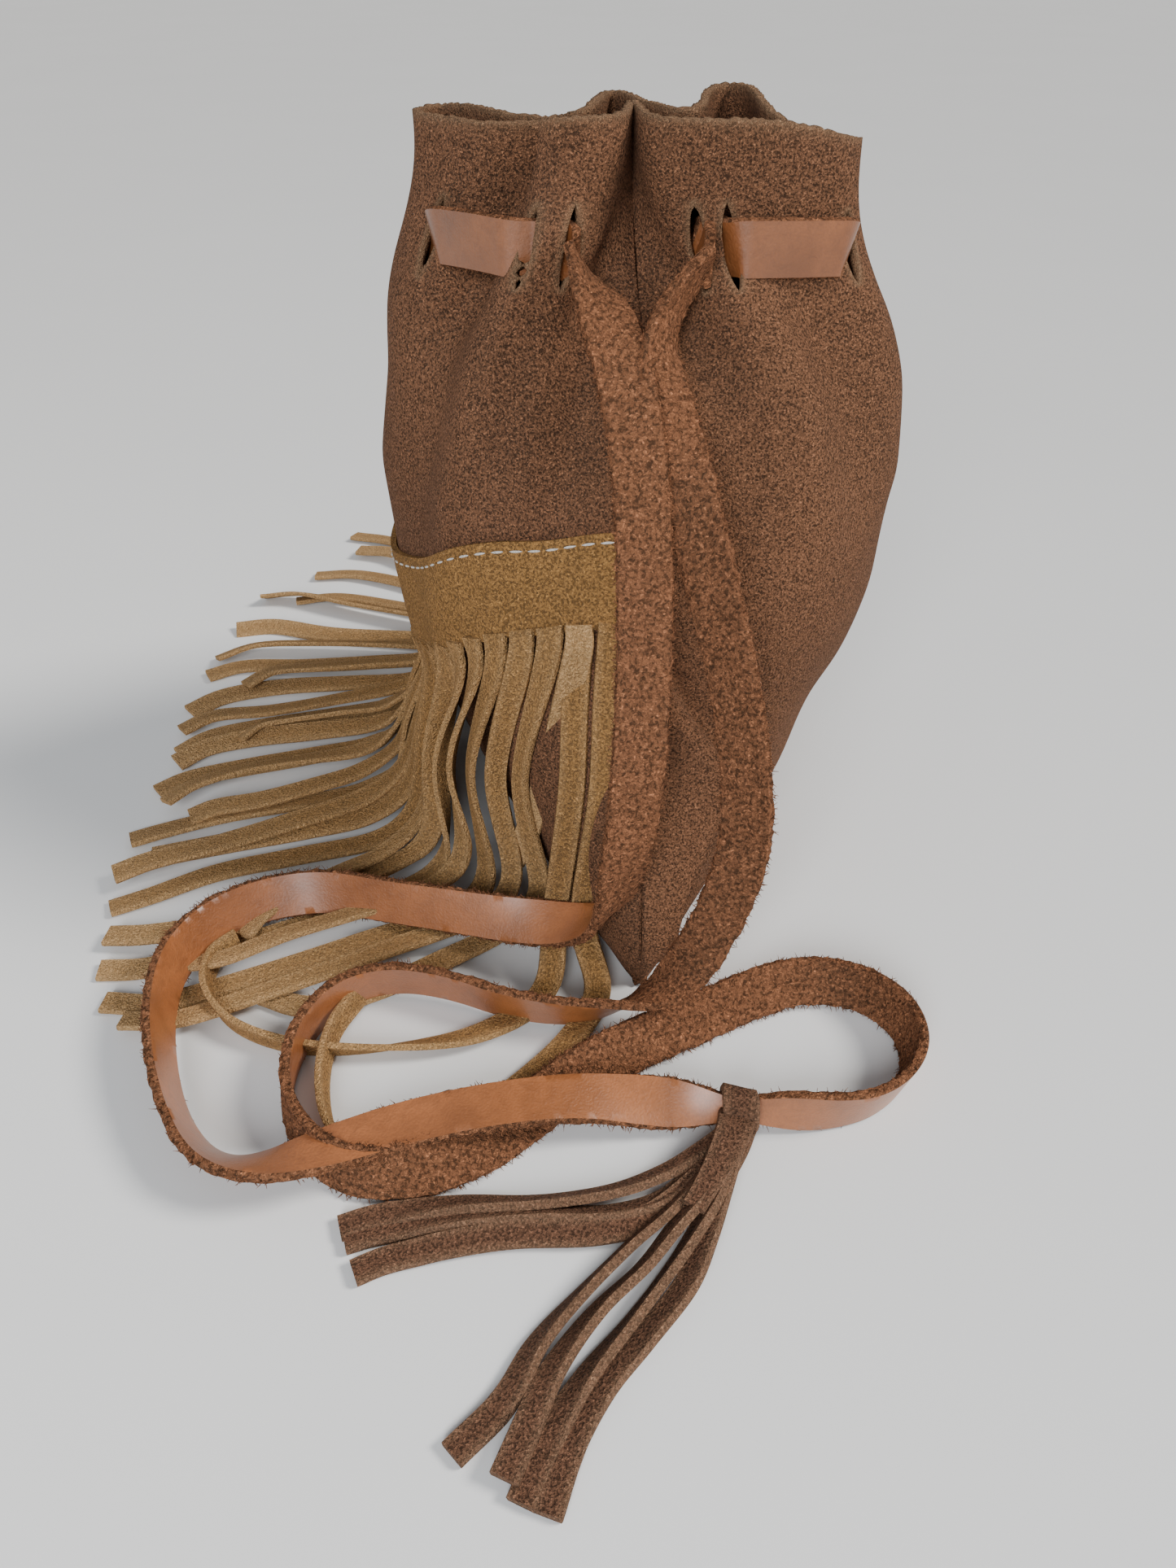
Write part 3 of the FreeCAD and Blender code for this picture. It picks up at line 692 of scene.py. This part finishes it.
def lip_gap(share):
    """How far a lip moves aside at a share of the slit's height."""
    return LIP_GAP * math.sin(math.pi * min(max(share, 0.0), 1.0)) ** 0.7


def cut_slits(bm, coords, side_name, heights):
    """Splits the slits open and spreads their lips."""
    columns = PANEL_COLUMNS + 1
    bm.verts.ensure_lookup_table()
    wear = bm.verts.layers.float.new("edge")
    top_row = coords.shape[0] - 1
    for row in range(coords.shape[0]):
        for column in range(columns):
            vert = bm.verts[row * columns + column]
            vert[wear] = float(np.exp(-(top_row - row) / 1.2))
    for slit in slit_columns(SIDES[side_name]):
        rows = [FLOOR_ROWS + k for k, h in enumerate(heights) if abs(h - LACE_LINE) <= SLIT_HALF + 0.4]
        first, last = rows[0], rows[-1]
        edges = []
        for row in range(first, last):
            pair = {row * columns + slit, (row + 1) * columns + slit}
            vert = bm.verts[row * columns + slit]
            edges += [edge for edge in vert.link_edges if {v.index for v in edge.verts} == pair]
        spread = 4
        for row in range(first - 2, last + 3):
            share = (row - first) / (last - first)
            open_by = lip_gap(share)
            for step in range(-spread, spread + 1):
                column = slit + step
                vert = bm.verts[row * columns + column]
                along = coords[row, column + 1] - coords[row, column - 1]
                along = along / np.linalg.norm(along)
                if step:
                    push = open_by * math.copysign(max(0.0, 1.0 - (abs(step) - 1) / spread), step)
                    vert.co += Vector(along * push * MM)
                near = math.exp(-abs(step) / 1.3) if -1 < share * (last - first) < last - first + 1 else 0.0
                vert[wear] = max(vert[wear], near)
        bm.verts.index_update()
        bmesh.ops.split_edges(bm, edges=edges)
        bm.verts.ensure_lookup_table()


def open_lips(bm, coords, side_name, heights):
    """Moves the two copies of each split point apart."""
    columns = PANEL_COLUMNS + 1
    places = {}
    for slit in slit_columns(SIDES[side_name]):
        for k, height in enumerate(heights):
            if abs(height - LACE_LINE) <= SLIT_HALF:
                row = FLOOR_ROWS + k
                along = coords[row, slit + 1] - coords[row, slit - 1]
                places[tuple(np.round(coords[row, slit] * MM, 7))] = (along / np.linalg.norm(along), height)
    for vert in bm.verts:
        if not any(edge.is_boundary for edge in vert.link_edges):
            continue
        found = places.get(tuple(round(value, 7) for value in vert.co))
        if found is None:
            continue
        along, height = found
        middle = sum((face.calc_center_median() for face in vert.link_faces), Vector()) / len(vert.link_faces)
        side = math.copysign(1.0, (middle - vert.co).dot(Vector(along)))
        share = (height - LACE_LINE + SLIT_HALF) / (2 * SLIT_HALF)
        open_by = lip_gap(share)
        vert.co += Vector(along * side * open_by * MM)


def make_panel(side_name, material, thickness):
    side = SIDES[side_name]
    coords, heights = panel_grid(side)
    bm = bmesh.new()
    bmesh.ops.create_grid(bm, x_segments=PANEL_COLUMNS, y_segments=coords.shape[0] - 1, size=1.0)
    put(bm, coords)
    cut_slits(bm, coords, side_name, heights)
    open_lips(bm, coords, side_name, heights)
    bmesh.ops.recalc_face_normals(bm, faces=bm.faces)
    sample = bm.faces[len(bm.faces) // 2]
    outward = sample.calc_center_median()
    if sample.normal.dot(Vector((outward.x, outward.y, 0.0))) < 0:
        bmesh.ops.reverse_faces(bm, faces=bm.faces)
    piece = make_piece(side_name + "_suede", bm, [material], "pouch", [side_name + "_panel"],
                       80.0)
    wall = piece.modifiers.new("leather", "SOLIDIFY")
    wall.thickness = thickness
    wall.offset = -1.0


class POUCH_OT_panels(bpy.types.Operator):
    """Front and back suede panels, gathered at the neck and slit for the lace"""
    bl_idname = "pouch.panels"
    bl_label = "Suede panels"

    def execute(self, context):
        sizes = context.scene.pouch_sizes
        material = suede("chestnut_suede", context.scene.pouch_colours.body, 0.16, 2.7, 1900.0)
        for name in ("front", "back"):
            make_panel(name, material, sizes.suede_thickness)
        return {"FINISHED"}


def band_top(y):
    """Height of the fringe panel's upper edge: low in the middle, high at the seams."""
    return 67.0 + 28.5 * np.minimum(np.abs(y) / 58.0, 1.1) ** 2


def band_edge(share, drop, offset=BAND_OFFSET):
    """A point on the fringe panel, so far below its upper edge."""
    height = 75.0
    for _ in range(4):
        point, outward = FRONT.at(share, height, offset)
        height = float(band_top(point[1])) - drop
    return FRONT.at(share, height, offset)


def band_mesh(bm, thick):
    shares = np.linspace(0.004, 0.996, BAND_COLUMNS + 1)
    drops = np.linspace(0.0, BAND_HEIGHT, BAND_ROWS + 1)
    outer = np.zeros((BAND_ROWS + 1, len(shares), 3))
    inner = np.zeros_like(outer)
    for r, drop in enumerate(drops):
        for c, share in enumerate(shares):
            ripple = 0.35 * math.sin(c * 0.9) * (drop / BAND_HEIGHT)
            point, outward = band_edge(share, drop, BAND_OFFSET + ripple)
            outer[r, c] = point
            inner[r, c] = point - outward * thick
    loop = np.concatenate([outer, inner[::-1], outer[:1]])
    grid = bmesh.new()
    bmesh.ops.create_grid(grid, x_segments=len(shares) - 1, y_segments=loop.shape[0] - 1, size=1.0)
    put(grid, loop)
    bmesh.ops.remove_doubles(grid, verts=grid.verts, dist=1e-7)
    bmesh.ops.holes_fill(grid, edges=[edge for edge in grid.edges if edge.is_boundary], sides=0)
    bmesh.ops.recalc_face_normals(grid, faces=grid.faces)
    pour(grid, bm)


def rolled(facing, direction, degrees):
    """Facing turned about the strip's own direction."""
    angle = math.radians(degrees)
    return facing * math.cos(angle) + np.cross(direction, facing) * math.sin(angle)


def draped(outward, direction, degrees):
    """Facing of a strip: outward where it hangs, up where it lies, then rolled."""
    flatness = float(smooth_step(1.0 - abs(direction[2]), 0.15, 0.75))
    return rolled(unit(outward * (1 - flatness) + UP * flatness), direction, degrees)


def fringe_strips(bm, width, thick):
    rng = random.Random(11)
    count = len(STRIP_TIPS)
    for k, (tip_x, tip_y, level, roll) in enumerate(STRIP_TIPS):
        share = 0.055 + (k + 0.5) / count * 0.94
        top, outward = band_edge(share, BAND_HEIGHT - 1.5)
        below = band_edge(share, BAND_HEIGHT + 7.0, BAND_OFFSET + 0.8)[0]
        tip = np.array([tip_x, tip_y, 1.0])
        flat = unit(np.array([tip[0] - top[0], tip[1] - top[1], 0.0]))
        out_flat = unit(np.array([outward[0], outward[1], 0.0]))
        sway = rng.uniform(-3.0, 3.0)
        slide, hang_turn = HANGING[k] if k < len(HANGING) else (0.0, rng.uniform(-35.0, 35.0))
        round_way = unit(np.cross(UP, outward)) * (-1.0 if np.cross(UP, outward)[0] > 0 else 1.0)
        side = np.cross(UP, flat)
        hang = top * 1.0
        hang[2] = top[2] * 0.5
        hang += out_flat * 2.5 + side * sway * 0.4 + round_way * slide
        knee = np.array([top[0], top[1], 9.0 + level]) + out_flat * 5.0 + flat * 2.0
        foot = np.array([top[0], top[1], 2.5 + level]) + out_flat * 8.0 + flat * 9.0
        reach = np.linalg.norm(tip[:2] - foot[:2])
        runs = [foot + flat * reach * s + side * sway * w for s, w in ((0.3, 0.8), (0.6, 1.4), (0.85, 0.6))]
        for run, lift in zip(runs, (1.2, 0.6, 0.2)):
            run[2] = level + lift
        tip[2] = max(1.0, level - 0.8)
        route = [top, below, hang, knee, foot] + runs + [tip]
        if k == SHORT_STRIP:
            end = hang + np.array([-1.0, 0.0, -14.0]) + round_way * 5.0
            route = [top, below, hang + np.array([0.0, 0.0, 8.0]), end, end + round_way * 3.5 + UP * -9.0]
        line = even(catmull(np.array(route)), int(150 / 2.2))
        facing = np.zeros_like(line)
        along = np.linspace(0.0, 1.0, len(line))
        tangent = unit(np.gradient(line, axis=0))
        for i, share_along in enumerate(along):
            turn = hang_turn * math.sin(math.pi * min(share_along / 0.45, 1.0))
            facing[i] = draped(outward, tangent[i], turn + roll * smooth_step(share_along, 0.4, 0.7))
        widths = width * (1.0 + 0.06 * np.sin(along * 9.0 + k)) * (0.92 + 0.14 * rng.random())
        widths = widths * (0.86 if k < len(HANGING) else 1.0)
        tone = 0.75 if k == SHORT_STRIP else rng.uniform(0.0, 0.16) + (0.14 if k < len(HANGING) else 0.05)
        strap(bm, line, facing, widths, thick, STRIP_PROFILE, pale=(tone, tone + 0.35, 0.6))
    for curl, share in ((CURL_LONG, 0.035), (CURL_SHORT, 0.07)):
        top, outward = band_edge(share, BAND_HEIGHT - 1.5)
        route = [top, top + np.array([-1.0, -3.0, -16.0]), top + np.array([-2.0, -8.0, -36.0])]
        route += [np.array(point, dtype=float) for point in curl]
        line = even(catmull(np.array(route)), 110)
        tangent = unit(np.gradient(line, axis=0))
        facing = np.zeros_like(line)
        for i in range(len(line)):
            share_along = i / (len(line) - 1.0)
            facing[i] = draped(outward, tangent[i], 78.0 * float(smooth_step(share_along, 0.45, 0.8)))
        strap(bm, line, facing, np.full(len(line), width * 0.9), thick, STRIP_PROFILE, pale=(0.1, 0.5, 0.2))


class POUCH_OT_fringe(bpy.types.Operator):
    """Fringe panel: a band sewn to the front and cut into strips"""
    bl_idname = "pouch.fringe"
    bl_label = "Fringe panel"

    def execute(self, context):
        sizes = context.scene.pouch_sizes
        thick = 1.3
        bm = bmesh.new()
        band_mesh(bm, thick)
        fringe_strips(bm, sizes.strip_width / MM, thick)
        colour = context.scene.pouch_colours.fringe
        material = suede("tan_suede", colour, 0.40, 1.8, 1600.0, (0.70, 0.43, 0.20))
        piece = make_piece("fringe", bm, [material], "pouch", ["fringe_panel"])
        return {"FINISHED"}


class POUCH_OT_stitching(bpy.types.Operator):
    """White top stitching along the band and the hidden seam thread"""
    bl_idname = "pouch.stitching"
    bl_label = "Stitching"

    def execute(self, context):
        bm = bmesh.new()
        for k in range(STITCHES):
            share = 0.012 + 0.976 * (k + 0.5) / STITCHES
            point = band_edge(share, STITCH_DROP, BAND_OFFSET + 0.05)[0]
            ahead = band_edge(min(share + 0.008, 1.0), STITCH_DROP, BAND_OFFSET + 0.05)[0]
            along = Vector(unit(ahead - point))
            turn = along.to_track_quat("X", "Z").to_matrix().to_4x4()
            made = bmesh.ops.create_uvsphere(bm, u_segments=8, v_segments=6, radius=1.0)
            for vert in made["verts"]:
                vert.co.x *= 1.30 * MM
                vert.co.y *= 0.25 * MM
                vert.co.z *= 0.25 * MM
            bmesh.ops.transform(bm, matrix=turn, verts=made["verts"])
            bmesh.ops.translate(bm, vec=Vector(point * MM), verts=made["verts"])
        make_piece("top_stitches", bm, [thread_finish("white_thread", context.scene.pouch_colours.thread)],
                   "pouch", ["top_stitching"])
        bm = bmesh.new()
        for share in (0.0, 1.0):
            line = np.array([FRONT.at(share, height, -2.6)[0] for height in np.linspace(4.0, 150.0, 60)])
            facing = np.tile(np.array([[0.0, 1.0, 0.0]]), (len(line), 1))
            strap(bm, line, facing, np.full(len(line), 0.8), 0.8, STRIP_PROFILE)
        bottom = np.stack([np.zeros(60), np.linspace(-70, 70, 60), np.full(60, 2.9)], axis=1)
        strap(bm, bottom, np.tile(np.array([[0.0, 0.0, 1.0]]), (60, 1)), np.full(60, 0.8), 0.8, STRIP_PROFILE)
        make_piece("seam_thread", bm, [thread_finish("brown_thread", (0.12, 0.06, 0.03))],
                   "pouch", ["seam_threads"])
        return {"FINISHED"}


def route_line(points, name):
    """Points read from the route's own smooth spline, in mm."""
    curve = bpy.data.curves.new(name, "CURVE")
    curve.dimensions = "3D"
    spline = curve.splines.new("NURBS")
    spline.points.add(len(points) - 1)
    for knot, place in zip(spline.points, points):
        knot.co = (place[0] * MM, place[1] * MM, place[2] * MM, 1.0)
    spline.order_u = 3
    spline.use_endpoint_u = True
    spline.resolution_u = 20
    holder = bpy.data.objects.new(name, curve)
    mesh = bpy.data.meshes.new_from_object(holder)
    line = np.array([vert.co[:] for vert in mesh.vertices]) / MM
    bpy.data.objects.remove(holder)
    bpy.data.curves.remove(curve)
    bpy.data.meshes.remove(mesh)
    return line


def fibres(bm, line, across, normal, width, thick, rng, amount, reach):
    """Loose fibres along both cut edges of a strap, made in small batches."""
    batch = 100
    for _ in range(amount // batch):
        tuft = bmesh.new()
        for _ in range(batch):
            k = rng.randrange(2, len(line) - 2)
            side = rng.choice((-1.0, 1.0))
            root = (line[k] + across[k] * side * width[k] / 2 * 0.98
                    + normal[k] * rng.uniform(-0.4, 0.5) * thick)
            lean = unit(across[k] * side * rng.uniform(0.5, 1.0) + normal[k] * rng.uniform(-0.4, 1.0)
                        + unit(line[k + 1] - line[k - 1]) * rng.uniform(-0.9, 0.9))
            length = reach * rng.uniform(0.3, 1.0)
            turn = Vector(lean).to_track_quat("Z", "Y").to_matrix().to_4x4()
            turn.translation = Vector((root + lean * length / 2) * MM)
            bmesh.ops.create_cone(tuft, segments=3, radius1=0.12 * MM, radius2=0.03 * MM,
                                  depth=length * MM, cap_ends=True, matrix=turn)
        pour(tuft, bm)


def rough_wobble(seed, edge_amount, face_amount):
    """Small uneven moves of the rough side and the cut edges."""
    def move(rings, across, normal):
        rng = np.random.default_rng(seed)
        count, sides = rings.shape[:2]
        noise = rng.uniform(-1.0, 1.0, (count, sides))
        noise = (noise + np.roll(noise, 1, axis=0) * 0.6) / 1.6
        result = np.zeros_like(rings)
        half = sides // 2
        for k in range(sides):
            if half - 2 <= k <= half - 1 or k >= sides - 2:
                result[:, k] += across * (noise[:, k] * edge_amount)[:, None]
            if k < half - 2:
                result[:, k] += normal * (noise[:, k] * face_amount)[:, None]
        return result
    return move


def taut(span):
    """The same run pulled flat: a shallow arch that clears the wall and faces one way."""
    points = np.array([point for point, outward in span])
    facing = unit(np.mean([outward for point, outward in span], axis=0))
    share = np.linspace(0.0, 1.0, len(points))
    chord = points[0] + np.outer(share, points[-1] - points[0])
    arch = np.sin(math.pi * share)
    over = ((points - chord) @ facing)[1:-1] / arch[1:-1]
    rise = float(np.clip(over.max(), 0.6, 4.0))
    return [(point, facing) for point in chord + np.outer(arch * rise, facing)]


def woven_line():
    """Middle line of the woven stretch, in and out of the slits, and its outward directions."""
    stops = []
    names = [name for name, share in SLITS]
    shares = [share for name, share in SLITS]
    for k in range(len(SLITS) - 1):
        inside_run = k % 2 == 0
        offset = SKIN_MIDDLE - LACE_SWING if inside_run else SKIN_MIDDLE + LACE_SWING
        start = shares[k]
        end = shares[k + 1]
        if names[k] == names[k + 1]:
            steps = np.linspace(start, end, 12)[1:-1]
            run = [(names[k], s) for s in steps]
        else:
            run = [(names[k], s) for s in np.linspace(start, 1.0, 6)[1:-1]]
            run += [(names[k + 1], s) for s in np.linspace(1.0, end, 6)[1:-1]]
        span = [SIDES[name].at(s, LACE_LINE, offset) for name, s in run]
        if not inside_run and names[k] == names[k + 1]:
            span = taut(span)
        stops += span
    first = np.array(LACE_ROUTE[0], dtype=float)
    last = np.array(LACE_ROUTE[-1], dtype=float)
    points = np.array([first[:3]] + [p for p, n in stops] + [last[:3]])
    outs = np.array([-first[3:]] + [n for p, n in stops] + [-last[3:]])
    return points, outs


class POUCH_OT_lace(bpy.types.Operator):
    """The flat lace: woven round the neck, then one long loop to the tassel"""
    bl_idname = "pouch.lace"
    bl_label = "Lace"

    def execute(self, context):
        sizes = context.scene.pouch_sizes
        colours = context.scene.pouch_colours
        width = sizes.lace_width / MM
        thick = sizes.lace_thickness / MM
        grain = grain_leather("lace_grain", colours.lace_grain)
        flesh = flesh_leather("lace_flesh", colours.lace_flesh)
        rng = random.Random(5)

        points, outs = woven_line()
        both = even(catmull(np.hstack([points, outs]), 10), 420)
        line = both[:, :3]
        facing = unit(softened(both[:, 3:] * np.array([1.0, 1.0, 0.0]), 25))
        line = softened(line, 9)
        bm = bmesh.new()
        strap(bm, line, -facing, np.full(len(line), width), thick, STRAP_PROFILE, 1,
              rough_wobble(3, 0.10, 0.12))
        # Painted shade: the woven stretch's smooth side uses a copy of the lace finish darkened to 0.66 of
        # its colour, to hold back the strong lamp light that falls on it
        shaded_lace_grain = grain_leather("lace_grain_painted_shade", tuple(part * 0.66 for part in colours.lace_grain))
        make_piece("lace_woven", bm, [flesh, shaded_lace_grain], "pouch", ["woven_lace"])

        line = route_line(LACE_ROUTE, "lace_route")
        rough = np.array([point[3:] for point in LACE_ROUTE], dtype=float)
        knots = np.array([point[:3] for point in LACE_ROUTE], dtype=float)
        gaps = np.concatenate([[0.0], np.cumsum(np.linalg.norm(np.diff(knots, axis=0), axis=1))])
        line = even(line, 1150)
        along = np.linspace(0.0, gaps[-1], len(line))
        facing = np.stack([np.interp(along, gaps, rough[:, k]) for k in range(3)], axis=1)
        tangent = unit(np.gradient(line, axis=0))
        facing = unit(facing - tangent * (facing * tangent).sum(axis=1, keepdims=True))
        facing = unit(softened(facing, 41))
        line[:, 2] = keep_off_table(line, tangent, facing, width, thick)
        bm = bmesh.new()
        pinch = np.exp(-((line[:, 0] - FOLD_MIDDLE[0]) ** 2 + (line[:, 1] - FOLD_MIDDLE[1]) ** 2) / 80.0)
        widths = width * (1.0 - 0.5 * pinch)
        strap(bm, line, facing, widths, thick, STRAP_PROFILE, 1, rough_wobble(7, 0.34, 0.26))
        across = unit(np.cross(tangent, facing))
        fibres(bm, line, across, facing, widths, thick, rng, 4200, 1.4)
        piece = make_piece("lace_loop_strap", bm, [flesh, grain], "pouch", ["lace_loop"])
        return {"FINISHED"}


def softened(rows, span):
    """The same rows averaged over a moving span."""
    kernel = np.hanning(span) / np.hanning(span).sum()
    half = span // 2
    padded = np.pad(rows, ((half, half), (0, 0)), mode="edge")
    return np.stack([np.convolve(column, kernel, "valid") for column in padded.T], axis=1)


def keep_off_table(line, tangent, facing, width, thick):
    """Heights that keep the strap's lower edge just above the table."""
    across = unit(np.cross(tangent, facing))
    low = np.abs(across[:, 2]) * width / 2 + np.abs(facing[:, 2]) * thick / 2 + 0.25
    return np.maximum(line[:, 2], low)


def strand_piece(name, node, body, routes, material, width, thick):
    bm = bmesh.new()
    for route, roll in routes:
        line = even(catmull(np.array(route)), 64)
        tangent = unit(np.gradient(line, axis=0))
        along = np.linspace(0.0, 1.0, len(line))
        facing = np.zeros_like(line)
        for i, share in enumerate(along):
            turn = roll * math.sin(math.pi * min(share * 1.15, 1.0)) ** 0.6
            facing[i] = rolled(UP, tangent[i], turn)
        widths = width * (0.62 + 0.38 * smooth_step(along, 0.0, 0.35))
        line[:, 2] = keep_off_table(line, tangent, facing, width, thick)
        strap(bm, line, facing, widths, thick, STRIP_PROFILE, pale=(0.0, 0.42, 0.0))
    return make_piece(name, bm, [material], body, [node])


class POUCH_OT_tassel(bpy.types.Operator):
    """Tassel: a fringed strip folded over the lace"""
    bl_idname = "pouch.tassel"
    bl_label = "Tassel"

    def execute(self, context):
        sizes = context.scene.pouch_sizes
        colour = context.scene.pouch_colours.tassel
        material = suede("brown_suede", colour, 0.28, 2.2, 1600.0, (0.40, 0.24, 0.14))
        width = sizes.strand_width / MM
        thick = 1.6
        strand_piece("tassel_front", "tassel_front_strands", "front_strands", FRONT_STRANDS, material,
                     width, thick)
        strand_piece("tassel_left", "tassel_left_strands", "left_strands", LEFT_STRANDS, material,
                     width, thick)
        bm = bmesh.new()
        middle = np.array(FOLD_MIDDLE)
        turns = np.radians(np.linspace(-55.0, 235.0, 40))
        loop = np.stack([np.full(40, 0.0), -np.cos(turns) * 3.0, np.sin(turns) * 3.7], axis=1) + middle
        start = np.array([[11.5, -130.0, 3.4], [15.0, -122.5, 3.6]])
        end = np.array([[15.4, -121.5, 7.6], [12.0, -128.5, 7.4], [7.0, -136.5, 6.6]])
        route = even(catmull(np.concatenate([end[::-1], loop[::6][::-1], start[::-1]]), 8), 90)
        tangent = unit(np.gradient(route, axis=0))
        side = np.tile(np.array([[1.0, -0.3, 0.0]]), (len(route), 1))
        facing = unit(np.cross(side, tangent))
        widths = 4.2 + 2.6 * smooth_step(route[:, 1], -136.0, -120.0)
        strap(bm, route, facing, widths, 1.5, STRIP_PROFILE, pale=(0.0, 0.3, 0.0))
        make_piece("tassel_fold", bm, [material], "tassel", ["tassel_head"])
        return {"FINISHED"}


class POUCH_PT_panel(bpy.types.Panel):
    """Lists the pouch's pieces"""
    bl_idname = "POUCH_PT_panel"
    bl_label = "Drawstring pouch"
    bl_space_type = "VIEW_3D"
    bl_region_type = "UI"
    bl_category = "Pouch"

    def draw(self, context):
        for group in (context.scene.pouch_sizes, context.scene.pouch_colours):
            for name in group.__annotations__:
                self.layout.prop(group, name)
        for operator in OPERATORS:
            self.layout.operator(operator.bl_idname)


OPERATORS = (POUCH_OT_stage, POUCH_OT_lace, POUCH_OT_panels, POUCH_OT_fringe, POUCH_OT_stitching,
             POUCH_OT_tassel)
CLASSES = (PouchSizes, PouchColours) + OPERATORS + (POUCH_PT_panel,)


def register():
    for item in CLASSES:
        bpy.utils.register_class(item)
    bpy.types.Scene.pouch_sizes = bpy.props.PointerProperty(type=PouchSizes)
    bpy.types.Scene.pouch_colours = bpy.props.PointerProperty(type=PouchColours)


def unregister():
    del bpy.types.Scene.pouch_sizes
    del bpy.types.Scene.pouch_colours
    for item in reversed(CLASSES):
        bpy.utils.unregister_class(item)


def main():
    register()
    for operator in OPERATORS:
        group, name = operator.bl_idname.split(".")
        getattr(getattr(bpy.ops, group), name)()


if __name__ == "__main__":
    main()
